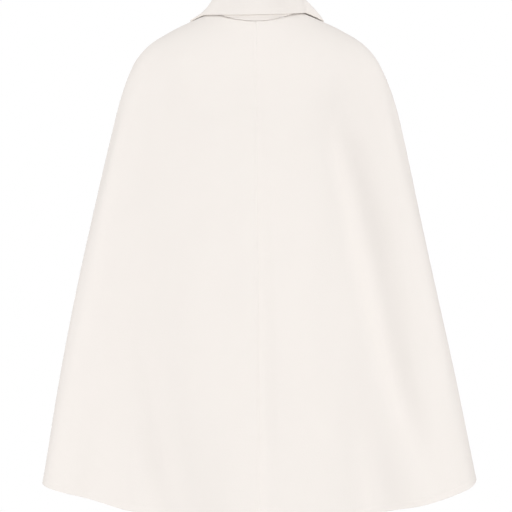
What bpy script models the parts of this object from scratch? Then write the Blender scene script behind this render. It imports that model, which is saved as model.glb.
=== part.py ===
"""A cream wool cape with a turned-down collar, hanging as it is worn, with nobody in it.

Blender 4.5, metres, +Z up. The wearer faces -Y, so the back is at +Y and the wearer's left is at +X.
The origin is at the middle of the neck, level with the neck ends of the shoulder seams, where the
wearer holds the cape up.

The cape's cloth is one surface, worked out from a table of level rings and a table of soft folds.
Four panels are cut from it along the seams. The collar's stand rises from the neck ring and its fall
turns over outwards. Three buttons close the overlapping fronts.
"""

import math

import bmesh
import bpy
import numpy as np
from mathutils import Matrix, Vector

# Cloth and clearances
CLOTH = 0.0025
COLLAR_CLOTH = 0.0030
SEAM_GAP = 0.0003
OVERLAP_GAP = 0.0005

# Angles run round the cape from the wearer's left side, through the back, to the right side and front
LEFT_SIDE, BACK, RIGHT_SIDE, FRONT = 0.0, 90.0, 180.0, 270.0

# Each section is a ring: where it crosses the side seams, the centre back and the centre front.
# "full" swells a quarter of the ring between those crossings, or draws it in where it is negative.
SECTION_COLUMNS = (
    "side_x", "side_z", "back_y", "back_z", "back_full", "front_y", "front_z", "front_full",
)
SECTIONS = {
    "neck seam":      (0.078, 0.000, 0.074, -0.024, 0.00, -0.062, -0.085, 0.00),
    "collar edge":    (0.110, -0.014, 0.092, -0.050, 0.02, -0.082, -0.108, 0.02),
    "mid shoulder":   (0.147, -0.032, 0.106, -0.084, 0.06, -0.100, -0.140, 0.06),
    "shoulder point": (0.184, -0.056, 0.117, -0.122, 0.10, -0.115, -0.178, 0.10),
    "top of arm":     (0.209, -0.088, 0.125, -0.164, 0.12, -0.127, -0.220, 0.12),
    "upper arm":      (0.231, -0.144, 0.132, -0.214, 0.10, -0.137, -0.268, 0.10),
    "chest":          (0.252, -0.228, 0.144, -0.292, 0.06, -0.149, -0.335, 0.06),
    "waist":          (0.285, -0.384, 0.168, -0.432, 0.00, -0.175, -0.455, 0.02),
    "hip":            (0.317, -0.540, 0.194, -0.574, -0.06, -0.201, -0.585, -0.02),
    "thigh":          (0.345, -0.678, 0.217, -0.704, -0.10, -0.224, -0.700, -0.06),
    "hem":            (0.367, -0.793, 0.236, -0.827, -0.12, -0.243, -0.812, -0.08),
}
# Rows of faces between each section and the next, closer where the cloth turns over the shoulder
ROWS_BETWEEN = (2, 2, 3, 3, 2, 3, 3, 3, 3, 2)

# Soft folds: a trough where depth is negative, a ridge where it is positive. A fold leans from one
# angle to the other, grows from nothing at the section "starts" to its depth at "full", and ends at
# the hem at the share "left" of that depth.
FOLD_COLUMNS = ("top_angle", "hem_angle", "half_width", "depth", "starts", "full", "left")
FOLDS = {
    "trough from the right shoulder blade": (125, 140, 8.0, -0.022, 4.0, 7.0, 0.35),
    "ridge beside it at the right":         (146, 158, 9.0, 0.006, 4.5, 8.0, 0.20),
    "ridge right of the back seam":         (107, 102, 8.0, 0.005, 4.0, 8.0, 0.80),
    "fullness right of the back seam":      (126, 131, 18.0, 0.022, 5.5, 10.0, 1.00),
    "trough at the hem, back right":        (122, 122, 6.0, -0.024, 7.5, 10.0, 1.00),
    "hollow left of the back seam":         (46, 38, 15.0, -0.026, 5.5, 10.0, 1.00),
    "trough at the hem, back left":         (48, 67, 5.5, -0.017, 7.0, 9.5, 1.00),
    "ridge towards the left side":          (27, 21, 8.0, 0.006, 3.5, 8.0, 1.00),
    "fullness at the left side":            (0, 0, 14.0, 0.005, 5.5, 7.5, 0.60),
    "trough before the left side":          (338, 334, 10.0, -0.016, 4.5, 10.0, 1.00),
    "ridge over the left chest":            (312, 310, 9.0, 0.010, 5.0, 9.0, 1.00),
    "trough beside the left front":         (293, 289, 7.0, -0.011, 5.5, 10.0, 1.00),
    "trough beside the right front":        (249, 252, 6.5, -0.009, 6.0, 10.0, 1.00),
    "ridge over the right chest":           (230, 233, 9.0, 0.009, 5.0, 9.0, 1.00),
    "trough before the right side":         (206, 210, 10.0, -0.014, 4.5, 10.0, 1.00),
}

# Fronts: how far each laps past the centre, and where the upper one climbs over the lower one
LAP = 0.026
LAP_RISE_FROM, LAP_RISE_TO = -0.075, -0.032

# Columns of faces across a back panel, and across a front panel outside and inside the lap
BACK_COLUMNS, FRONT_COLUMNS, LAP_COLUMNS = 16, 13, 4

# Collar: sizes at the centre back, the side and the centre front. The fall's reach down the cape counts
# in sections, at the side and the centre front. The collar is pulled a little to the right.
STAND_HEIGHT = (0.050, 0.040, 0.026)
STAND_LEAN = (14.0, 27.0, 20.0)
LEAN_TO_RIGHT = 0.15
FALL_REACH = (1.06, 2.45)
REACH_TO_RIGHT = 0.06
TURN_GAP = 0.0004
LEG, ROLL = 0.004, 0.0048
COLLAR_END = 0.0015
POINT_ANGLE = 26.0
REST_GAP = 0.0012
FALL_CURVE = 0.43
# Behind, the fall's edge lies in one plane: its height at the neck's middle, its drop for each metre
# towards the back, and its drop for each metre towards the left
EDGE_HEIGHT, EDGE_DROP, EDGE_TILT = -0.0026, 0.158, 0.012
# The sine of the angle where the edge leaves that plane for the left and for the right shoulder
EDGE_TURNS = (0.32, 0.20)
# How far from the neck seam the fall's edge keeps clear of both the stand and the cape
CORNER = 0.006
# How far the fall springs off the right shoulder instead of lying flat on it
RIGHT_SPRING = 1.2
STAND_ROWS, ROLL_ROWS, FALL_ROWS, COLLAR_AROUND = 3, 6, 6, 56

# Buttons
BUTTON_RADIUS, BUTTON_THICKNESS = 0.0125, 0.0042
BUTTON_RIM, BUTTON_DISH = 0.0032, 0.0011
BUTTON_EDGE = 0.0008
BUTTON_SECTIONS = (2.15, 4.55, 6.35)
BUTTON_SIDES = 28

CREAM = (0.86, 0.83, 0.78)
BUTTON_CREAM = (0.80, 0.76, 0.69)


def smooth(x):
    """0 below 0, 1 above 1, and an even curve between."""
    x = np.clip(x, 0.0, 1.0)
    return x * x * (3.0 - 2.0 * x)


def spline(rows, v):
    """Values of the table's columns at v, a row number that may lie between rows."""
    rows = np.asarray(rows, float)
    v = np.clip(np.asarray(v, float), 0.0, len(rows) - 1.0)
    i = np.minimum(v.astype(int), len(rows) - 2)
    t = (v - i)[..., None]
    ends = np.vstack([2 * rows[0] - rows[1], rows, 2 * rows[-1] - rows[-2]])
    p0, p1, p2, p3 = (ends[i + k] for k in range(4))
    return 0.5 * (
        2 * p1 + (p2 - p0) * t + (2 * p0 - 5 * p1 + 4 * p2 - p3) * t**2 + (3 * p1 - p0 - 3 * p2 + p3) * t**3
    )


def ring_point(angle, v):
    """The cape's smooth form, with no folds, at an angle in degrees and a section number."""
    size = dict(zip(SECTION_COLUMNS, np.moveaxis(spline(tuple(SECTIONS.values()), v), -1, 0)))
    turn = np.radians(angle)
    c, s = np.cos(turn), np.sin(turn)
    behind = s >= 0
    full = np.where(behind, size["back_full"], size["front_full"])
    deep = np.where(behind, size["back_y"], -size["front_y"])
    low = np.where(behind, size["back_z"], size["front_z"])
    x = size["side_x"] * c
    y = deep * s * (1.0 + full * c**2)
    z = size["side_z"] + (low - size["side_z"]) * s**2
    return np.stack([x, y, z], axis=-1)


def fold_depth(angle, v):
    """How far the folds move the cloth out, in metres."""
    moved = np.zeros(np.broadcast(angle, v).shape)
    hem = len(SECTIONS) - 1.0
    for row in FOLDS.values():
        fold = dict(zip(FOLD_COLUMNS, row))
        way = (v - fold["starts"]) / (hem - fold["starts"])
        middle = fold["top_angle"] + (fold["hem_angle"] - fold["top_angle"]) * way
        off = (angle - middle + 180.0) % 360.0 - 180.0
        grown = smooth((v - fold["starts"]) / (fold["full"] - fold["starts"]))
        faded = 1.0 - (1.0 - fold["left"]) * smooth((v - fold["full"]) / max(hem - fold["full"], 1e-6))
        moved = moved + fold["depth"] * grown * faded * np.exp(-0.5 * (off / fold["half_width"]) ** 2)
    return moved


def cape_point(angle, v):
    """A point of the cape's outer face."""
    step = 0.05
    along = ring_point(angle + step, v) - ring_point(angle - step, v)
    out = np.stack([along[..., 1], -along[..., 0], np.zeros_like(along[..., 0])], axis=-1)
    out /= np.linalg.norm(out, axis=-1, keepdims=True)
    return ring_point(angle, v) + out * fold_depth(angle, v)[..., None]


def cape_frame(angle, v):
    """The outward direction and the direction round the cape, both of unit length."""
    step, last = 0.05, len(SECTIONS) - 1.0
    around = cape_point(angle + step, v) - cape_point(angle - step, v)
    above, below = np.maximum(v - step, 0.0), np.minimum(v + step, last)
    down = cape_point(angle, below) - cape_point(angle, above)
    out = np.cross(down, around)
    out /= np.linalg.norm(out, axis=-1, keepdims=True)
    return out, around / np.linalg.norm(around, axis=-1, keepdims=True)


def finish_mesh(name, bm, colour, roughness, smooth_angle=math.radians(40)):
    """Turns a bmesh into an object with its own material."""
    bmesh.ops.recalc_face_normals(bm, faces=bm.faces)
    mesh = bpy.data.meshes.new(name)
    bm.to_mesh(mesh)
    bm.free()
    mesh.shade_smooth()
    mesh.set_sharp_from_angle(angle=smooth_angle)
    material = bpy.data.materials.new(name)
    material.use_nodes = True
    shader = material.node_tree.nodes["Principled BSDF"]
    shader.inputs["Base Color"].default_value = (*colour, 1.0)
    shader.inputs["Roughness"].default_value = roughness
    shader.inputs["Metallic"].default_value = 0.0
    mesh.materials.append(material)
    obj = bpy.data.objects.new(name, mesh)
    bpy.context.scene.collection.objects.link(obj)
    return obj


def cloth_wall(name, outer, inner):
    """A closed wall of cloth between two grids of points with the same rows and columns."""
    bm = bmesh.new()
    rows, columns = outer.shape[:2]
    faces = [[[bm.verts.new(point) for point in row] for row in grid] for grid in (outer, inner)]
    for grid in faces:
        for r in range(rows - 1):
            for c in range(columns - 1):
                bm.faces.new((grid[r][c], grid[r][c + 1], grid[r + 1][c + 1], grid[r + 1][c]))
    rim = [(0, c) for c in range(columns)]
    rim += [(r, columns - 1) for r in range(1, rows)]
    rim += [(rows - 1, c) for c in range(columns - 2, -1, -1)]
    rim += [(r, 0) for r in range(rows - 2, 0, -1)]
    over, under = faces
    for (r0, c0), (r1, c1) in zip(rim, rim[1:] + rim[:1]):
        bm.faces.new((over[r0][c0], over[r1][c1], under[r1][c1], under[r0][c0]))
    return finish_mesh(name, bm, CREAM, 0.9)


def section_rows():
    """The section numbers of the rows of points, from the neck to the hem."""
    rows = [0.0]
    for section, count in enumerate(ROWS_BETWEEN):
        rows += [section + (k + 1) / count for k in range(count)]
    return np.array(rows)


def panel(name, lines, columns, lift=None, seams=(True, True)):
    """A panel of the cape. lines gives the angles of lines down the panel, from one long edge to the
    other, and columns the number of columns of faces between each line and the next.

    lift, where it is given, moves the cloth out. seams says which long edges leave half a seam gap."""
    v = section_rows()
    strips = [line(v)[:, None] for line in lines]
    angle = [strips[0]]
    for left, right, count in zip(strips, strips[1:], columns):
        angle.append(left + (right - left) * np.linspace(0.0, 1.0, count + 1)[None, 1:])
    angle = np.concatenate(angle, axis=1)
    rows = np.broadcast_to(v[:, None], angle.shape)
    outer = cape_point(angle, rows)
    out, around = cape_frame(angle, rows)
    if lift is not None:
        outer = outer + out * lift(outer)[..., None]
    for column, toward, sewn in ((0, 1.0, seams[0]), (-1, -1.0, seams[1])):
        if sewn:
            outer[:, column] += around[:, column] * toward * SEAM_GAP / 2
    return cloth_wall(name, outer, outer - out * CLOTH)


def at(angle):
    """A long edge that lies at one angle all the way down."""
    return lambda v: np.full(v.shape, angle)


def beside_centre(side):
    """A line LAP beside the centre front, towards the wearer's left where side is 1."""
    def edge(v):
        half_width = spline(tuple(SECTIONS.values()), v)[:, SECTION_COLUMNS.index("side_x")]
        return FRONT + side * np.degrees(np.arcsin(LAP / half_width))
    return edge


def lap_lift(points):
    """The upper front climbs over the lower one."""
    x = points[..., 0]
    over = smooth((x - LAP_RISE_FROM) / (LAP_RISE_TO - LAP_RISE_FROM))
    return (CLOTH + OVERLAP_GAP) * over


def collar_size(sizes, angle):
    """A collar size at an angle, between its values at the centre back, the side and the centre front."""
    back, side, front = sizes
    s = np.sin(np.radians(angle))
    end = np.where(s >= 0, back, front)
    return side + (end - side) * s**2


def unit(vectors):
    return vectors / np.linalg.norm(vectors, axis=-1, keepdims=True)


def collar_base(angle):
    """Where the stand's middle line meets the neck seam, with the outward and leaning directions there."""
    neck = cape_point(angle, np.zeros_like(angle))
    step = 0.05
    along = ring_point(angle + step, 0 * angle) - ring_point(angle - step, 0 * angle)
    out = unit(np.stack([along[..., 1], -along[..., 0], 0 * along[..., 0]], axis=-1))
    lean = np.radians(collar_size(STAND_LEAN, angle))[..., None]
    up = np.array([0.0, 0.0, 1.0])
    rise = unit(np.cos(lean) * up - np.sin(lean) * out - [LEAN_TO_RIGHT, 0.0, 0.0])
    across = unit(out - rise * np.sum(out * rise, axis=-1, keepdims=True))
    base = neck + up * SEAM_GAP - out * COLLAR_CLOTH / 2
    return base, rise, across


def wall_of(name, middle):
    """A collar wall about a grid of points on its middle surface."""
    out = unit(np.cross(np.gradient(middle, axis=0), np.gradient(middle, axis=1)))
    half = out * COLLAR_CLOTH / 2
    return cloth_wall(name, middle + half, middle - half)


def collar_angles():
    """Angles of the collar's columns, from its left end at the centre front round the back to its right end."""
    half_width = SECTIONS["neck seam"][0]
    short = math.degrees(math.asin(COLLAR_END / half_width))
    return np.linspace(FRONT - 360.0 + short, FRONT - short, COLLAR_AROUND + 1)


def collar_stand():
    angle = collar_angles()
    base, rise, _ = collar_base(angle)
    height = collar_size(STAND_HEIGHT, angle)[:, None]
    share = np.linspace(0.0, 1.0, STAND_ROWS + 1)[:, None, None]
    return wall_of("collar_stand", base[None] + rise[None] * height[None] * share)


def behind(angle):
    """1 where the fall's edge lies in its plane behind the neck, and 0 from the shoulders forwards."""
    left, right = EDGE_TURNS
    turns = (left + right) / 2 + (left - right) / 2 * np.cos(np.radians(angle))
    return smooth(np.sin(np.radians(angle)) / turns)


def plane_edge(angle):
    """Where the plane of the fall's back edge meets the stand or the cape.

    Returns the height above the stand's foot, and the section number on the cape below it."""
    base, rise, _ = collar_base(angle)
    plane = np.array([EDGE_TILT, EDGE_DROP, 1.0])
    height = (EDGE_HEIGHT - base @ plane) / (rise @ plane)
    sections = np.linspace(0.0, 1.5, 61)
    reach = []
    for turn in angle:
        drop = EDGE_HEIGHT - cape_point(np.full_like(sections, turn), sections) @ plane
        reach.append(np.interp(0.0, drop, sections))
    return np.maximum(height, 0.0), np.array(reach)


def fall_edge(angle):
    """The free edge of the collar's fall, and the way down the cape there.

    It rests on the shoulders and the fronts. Behind, it lies close to the foot of the stand."""
    s = np.sin(np.radians(angle))
    to_front = smooth((-s - 0.1) / 0.9)
    side = np.where(np.cos(np.radians(angle)) >= 0, 1.0, -1.0)
    turned = angle + side * POINT_ANGLE * to_front
    in_plane = behind(angle)
    height, back_reach = plane_edge(angle)
    height = height * in_plane
    at_side, at_front = FALL_REACH
    rest_reach = at_side + (at_front - at_side) * np.clip(-s, 0.0, 1.0) ** 2
    rest_reach = rest_reach - REACH_TO_RIGHT * np.cos(np.radians(angle))
    reach = rest_reach + (back_reach - rest_reach) * in_plane
    _, rise, across = collar_base(angle)
    out, _ = cape_frame(turned, reach)
    facing = np.sum(across * out, axis=-1)
    by_cape = 1.0 - smooth(height / CORNER)
    along = np.linalg.norm(cape_point(turned, reach) - cape_point(turned, 0 * reach), axis=-1)
    by_stand = in_plane * (1.0 - smooth(along / CORNER))
    clear = REST_GAP + COLLAR_CLOTH / 2 + (CLOTH + OVERLAP_GAP) * smooth(to_front * 2.0)
    off_cape = (clear * by_cape / (1.0 + facing * by_stand))[:, None]
    off_stand = (clear * by_stand / (1.0 + facing * by_cape))[:, None]
    point = cape_point(turned, reach) + rise * height[:, None] + out * off_cape + across * off_stand
    down = unit(cape_point(turned, reach + 0.1) - cape_point(turned, np.maximum(reach - 0.1, 0.0)))
    return point, down


def collar_fall():
    """The fall: a short leg on the stand's top edge, the roll line, and the leaf that turns down outside."""
    angle = collar_angles()
    base, rise, across = collar_base(angle)
    top = base + rise * collar_size(STAND_HEIGHT, angle)[:, None]
    slope = np.sum(unit(np.gradient(top, axis=0)) * rise, axis=-1, keepdims=True)
    top = top + rise * TURN_GAP / np.sqrt(1.0 - slope**2)
    rows = [top, top + rise * LEG]
    for k in range(1, ROLL_ROWS + 1):
        turn = math.pi * k / ROLL_ROWS
        rows.append(top + rise * (LEG + ROLL * math.sin(turn)) + across * ROLL * (1.0 - math.cos(turn)))
    start = rows[-1]
    edge, down = fall_edge(angle)
    length = np.linalg.norm(edge - start, axis=-1, keepdims=True)
    resting = 1.0 - behind(angle)[:, None]
    spring = RIGHT_SPRING * np.clip(-np.cos(np.radians(angle)), 0.0, 1.0)[:, None] ** 4
    arrival = unit(unit(edge - start) * (1.0 - resting) + down * resting - [0.0, 0.0, 1.0] * spring)
    first = start - rise * length * FALL_CURVE
    second = edge - arrival * length * FALL_CURVE
    for k in range(1, FALL_ROWS + 1):
        t = k / FALL_ROWS
        rows.append(
            start * (1 - t) ** 3 + first * 3 * t * (1 - t) ** 2 + second * 3 * t**2 * (1 - t) + edge * t**3
        )
    return wall_of("collar_fall", np.array(rows))


def button(number, section):
    """A round button with a raised rim, turned about its axis and set on the upper front."""
    profile = (
        (0.0, 0.0),
        (BUTTON_RADIUS - BUTTON_EDGE, 0.0),
        (BUTTON_RADIUS, BUTTON_EDGE),
        (BUTTON_RADIUS, BUTTON_THICKNESS - BUTTON_EDGE),
        (BUTTON_RADIUS - BUTTON_EDGE, BUTTON_THICKNESS),
        (BUTTON_RADIUS - BUTTON_RIM, BUTTON_THICKNESS),
        (BUTTON_RADIUS - BUTTON_RIM - BUTTON_DISH, BUTTON_THICKNESS - BUTTON_DISH),
        (0.0, BUTTON_THICKNESS - BUTTON_DISH),
    )
    bm = bmesh.new()
    line = [bm.verts.new((radius, 0.0, height)) for radius, height in profile]
    edges = [bm.edges.new(pair) for pair in zip(line, line[1:])]
    bmesh.ops.spin(
        bm, geom=line + edges, cent=(0, 0, 0), axis=(0, 0, 1), angle=2 * math.pi, steps=BUTTON_SIDES
    )
    bmesh.ops.remove_doubles(bm, verts=bm.verts, dist=1e-5)
    angle, v = np.array([FRONT]), np.array([section])
    out, _ = cape_frame(angle, v)
    place = cape_point(angle, v)[0] + out[0] * (CLOTH + OVERLAP_GAP + SEAM_GAP)
    obj = finish_mesh(f"button_{number}", bm, BUTTON_CREAM, 0.45)
    obj.matrix_world = Matrix.Translation(place) @ Vector(out[0]).to_track_quat("Z", "Y").to_matrix().to_4x4()
    return obj


def main():
    for obj in list(bpy.data.objects):
        bpy.data.objects.remove(obj)
    lap_right, lap_left = beside_centre(-1.0), beside_centre(1.0)
    panel("back_left", (at(LEFT_SIDE), at(BACK)), (BACK_COLUMNS,))
    panel("back_right", (at(BACK), at(RIGHT_SIDE)), (BACK_COLUMNS,))
    panel("front_right", (at(RIGHT_SIDE), lap_right, lap_left), (FRONT_COLUMNS, LAP_COLUMNS), lap_lift,
          (True, False))
    panel("front_left", (lap_right, lap_left, at(LEFT_SIDE + 360.0)), (LAP_COLUMNS, FRONT_COLUMNS),
          seams=(False, True))
    collar_stand()
    collar_fall()
    for number, section in enumerate(BUTTON_SECTIONS, start=1):
        button(number, section)


main()
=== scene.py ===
# %% [markdown]
# # A wool cape, from its solids to its finish
# This lesson dresses a cape for a studio picture. The cape is made of thick double-faced wool: four
# panels, a collar in two pieces, and three buttons. It hangs from the neck and shoulders, filled out
# as if it were worn. Its solids already exist. They are loaded first, as a fixed frame that says where
# everything is, and every piece made here takes the place of one of them.

# %% Load the frame
import math

import bmesh
import bpy
import numpy as np
from mathutils import Matrix, Vector


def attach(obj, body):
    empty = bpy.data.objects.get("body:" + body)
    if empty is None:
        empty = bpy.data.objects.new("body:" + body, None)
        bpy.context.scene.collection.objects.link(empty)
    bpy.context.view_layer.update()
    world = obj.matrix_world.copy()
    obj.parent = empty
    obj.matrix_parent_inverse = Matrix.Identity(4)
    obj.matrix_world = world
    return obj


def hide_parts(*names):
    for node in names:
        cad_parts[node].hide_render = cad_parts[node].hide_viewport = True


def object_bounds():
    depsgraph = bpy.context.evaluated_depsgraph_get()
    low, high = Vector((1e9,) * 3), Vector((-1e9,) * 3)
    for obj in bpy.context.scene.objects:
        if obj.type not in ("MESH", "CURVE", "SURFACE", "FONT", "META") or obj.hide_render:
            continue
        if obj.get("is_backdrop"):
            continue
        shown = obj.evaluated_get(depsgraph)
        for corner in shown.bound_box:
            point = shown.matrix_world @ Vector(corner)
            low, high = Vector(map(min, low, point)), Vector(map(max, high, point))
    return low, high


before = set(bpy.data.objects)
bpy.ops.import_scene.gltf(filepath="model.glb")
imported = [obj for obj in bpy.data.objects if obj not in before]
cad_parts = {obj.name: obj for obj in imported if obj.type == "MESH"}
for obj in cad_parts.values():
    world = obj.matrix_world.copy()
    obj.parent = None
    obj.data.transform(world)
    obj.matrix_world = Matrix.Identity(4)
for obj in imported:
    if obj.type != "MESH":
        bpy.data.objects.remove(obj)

CAD_BOX = [[float(x) for x in corner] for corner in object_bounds()]
print("the solids:", sorted(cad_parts))

# %% [markdown]
# ## The cape's form
# A cape has no flat parts. A tailor gives it its form with the curve of the seams over the shoulders,
# and below them the cloth falls in a cone that its own weight shapes into soft folds. We could drape a
# flat panel with a cloth simulation, but a thick wool hardly moves, and a simulation would lose the
# outline that we want. So we describe the form with a table: each row is a ring round the cape, with
# its half width and height at the side seams, and its depth, height and fullness behind and in front.

# %% The rings
LEFT_SIDE, BACK, RIGHT_SIDE, FRONT = 0.0, 90.0, 180.0, 270.0
RING_COLUMNS = (
    "side_x", "side_z", "back_y", "back_z", "back_full", "front_y", "front_z", "front_full",
)
RINGS = {
    "neck seam":      (0.078, 0.000, 0.074, -0.024, 0.00, -0.062, -0.085, 0.00),
    "collar edge":    (0.110, -0.014, 0.092, -0.050, 0.02, -0.082, -0.108, 0.02),
    "mid shoulder":   (0.147, -0.032, 0.106, -0.084, 0.06, -0.100, -0.140, 0.06),
    "shoulder point": (0.184, -0.056, 0.117, -0.122, 0.10, -0.115, -0.178, 0.10),
    "top of arm":     (0.209, -0.088, 0.125, -0.164, 0.12, -0.127, -0.220, 0.12),
    "upper arm":      (0.231, -0.144, 0.132, -0.214, 0.10, -0.137, -0.268, 0.10),
    "chest":          (0.252, -0.228, 0.144, -0.292, 0.06, -0.149, -0.335, 0.06),
    "waist":          (0.285, -0.384, 0.168, -0.432, 0.00, -0.175, -0.455, 0.02),
    "hip":            (0.317, -0.540, 0.194, -0.574, -0.06, -0.201, -0.585, -0.02),
    "thigh":          (0.345, -0.678, 0.217, -0.704, -0.10, -0.224, -0.700, -0.06),
    "hem":            (0.367, -0.793, 0.236, -0.827, -0.12, -0.243, -0.812, -0.08),
}
HEM = len(RINGS) - 1.0
SLOPE_STEP = 0.05


def ease(x):
    """0 below 0, 1 above 1, and an even curve between."""
    x = np.clip(x, 0.0, 1.0)
    return x * x * (3.0 - 2.0 * x)


def unit(vectors):
    return vectors / np.linalg.norm(vectors, axis=-1, keepdims=True)


def between_rings(v):
    """The table's columns at v, a row number that may lie between rows."""
    rows = np.array(tuple(RINGS.values()))
    v = np.clip(np.asarray(v, float), 0.0, HEM)
    i = np.minimum(v.astype(int), len(rows) - 2)
    t = (v - i)[..., None]
    ends = np.vstack([2 * rows[0] - rows[1], rows, 2 * rows[-1] - rows[-2]])
    p0, p1, p2, p3 = (ends[i + k] for k in range(4))
    square, cube = 2 * p0 - 5 * p1 + 4 * p2 - p3, 3 * p1 - p0 - 3 * p2 + p3
    value = 2 * p1 + (p2 - p0) * t + square * t**2 + cube * t**3
    return dict(zip(RING_COLUMNS, np.moveaxis(0.5 * value, -1, 0)))


def ring_point(angle, v):
    """A point of the cape without its folds, at an angle in degrees and a ring's number."""
    size = between_rings(v)
    c, s = np.cos(np.radians(angle)), np.sin(np.radians(angle))
    behind = s >= 0
    full = np.where(behind, size["back_full"], size["front_full"])
    deep = np.where(behind, size["back_y"], -size["front_y"])
    low = np.where(behind, size["back_z"], size["front_z"])
    height = size["side_z"] + (low - size["side_z"]) * s**2
    return np.stack([size["side_x"] * c, deep * s * (1.0 + full * c**2), height], axis=-1)


print("rings:", len(RINGS), "from the neck seam down to the hem")

# %% [markdown]
# ## Soft folds
# Where the cone of cloth is wider than the body, it stands in ridges and falls in troughs. In thick
# wool they are broad and shallow, and no two are alike: one starts at the shoulder blade and fades, the
# next begins at the hip and is deepest at the hem. Each row of this table is one such fold. It leans
# from one angle to another, starts at one ring and is full at a later one.

# %% The large folds, which the solids have too
FOLD_COLUMNS = ("top_angle", "hem_angle", "half_width", "depth", "starts", "full", "left")
FOLDS = {
    "trough from the right shoulder blade": (125, 140, 8.0, -0.022, 4.0, 7.0, 0.35),
    "ridge beside it at the right":         (146, 158, 9.0, 0.006, 4.5, 8.0, 0.20),
    "ridge right of the back seam":         (107, 102, 8.0, 0.005, 4.0, 8.0, 0.80),
    "fullness right of the back seam":      (126, 131, 18.0, 0.022, 5.5, 10.0, 1.00),
    "trough at the hem, back right":        (122, 122, 6.0, -0.024, 7.5, 10.0, 1.00),
    "hollow left of the back seam":         (46, 38, 15.0, -0.026, 5.5, 10.0, 1.00),
    "trough at the hem, back left":         (48, 67, 5.5, -0.017, 7.0, 9.5, 1.00),
    "ridge towards the left side":          (27, 21, 8.0, 0.006, 3.5, 8.0, 1.00),
    "fullness at the left side":            (0, 0, 14.0, 0.005, 5.5, 7.5, 0.60),
    "trough before the left side":          (338, 334, 10.0, -0.016, 4.5, 10.0, 1.00),
    "ridge over the left chest":            (312, 310, 9.0, 0.010, 5.0, 9.0, 1.00),
    "trough beside the left front":         (293, 289, 7.0, -0.011, 5.5, 10.0, 1.00),
    "trough beside the right front":        (249, 252, 6.5, -0.009, 6.0, 10.0, 1.00),
    "ridge over the right chest":           (230, 233, 9.0, 0.009, 5.0, 9.0, 1.00),
    "trough before the right side":         (206, 210, 10.0, -0.014, 4.5, 10.0, 1.00),
}
SHORTEST_FADE = 1e-6


def turn_apart(angle, middle):
    """Degrees from one angle to another, the short way round."""
    return (angle - middle + 180.0) % 360.0 - 180.0


def large_folds(angle, v):
    """How far the large folds move the cloth out, in metres."""
    moved = np.zeros(np.broadcast(angle, v).shape)
    for row in FOLDS.values():
        fold = dict(zip(FOLD_COLUMNS, row))
        way = (v - fold["starts"]) / (HEM - fold["starts"])
        middle = fold["top_angle"] + (fold["hem_angle"] - fold["top_angle"]) * way
        grown = ease((v - fold["starts"]) / (fold["full"] - fold["starts"]))
        fade = max(HEM - fold["full"], SHORTEST_FADE)
        faded = 1.0 - (1.0 - fold["left"]) * ease((v - fold["full"]) / fade)
        off = turn_apart(angle, middle) / fold["half_width"]
        moved = moved + fold["depth"] * grown * faded * np.exp(-0.5 * off**2)
    return moved


def cape_point(angle, v):
    """A point of the cape's outer face, with its large folds."""
    along = ring_point(angle + SLOPE_STEP, v) - ring_point(angle - SLOPE_STEP, v)
    out = unit(np.stack([along[..., 1], -along[..., 0], np.zeros_like(along[..., 0])], axis=-1))
    return ring_point(angle, v) + out * large_folds(angle, v)[..., None]


def cape_frame(angle, v):
    """The ways out of the cloth and round the cape, both of unit length."""
    around = cape_point(angle + SLOPE_STEP, v) - cape_point(angle - SLOPE_STEP, v)
    below, above = np.minimum(v + SLOPE_STEP, HEM), np.maximum(v - SLOPE_STEP, 0.0)
    down = cape_point(angle, below) - cape_point(angle, above)
    return unit(np.cross(down, around)), unit(around)


print("large folds:", len(FOLDS))

# %% [markdown]
# Between the large folds, real cloth is never quite smooth. Drag lines run from the neck towards the
# arms, a shallow dent follows the back seam, and the hem waves a little. On each side of the long
# trough at the right the cloth has a lip and a steeper floor, which draw its soft shadow. Most of these
# are a few millimetres deep and the deepest is a centimetre, so the solids leave them out and the
# dressed cloth has them. Three long, low waves of uneven pitch keep the rest from looking cast.

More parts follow.
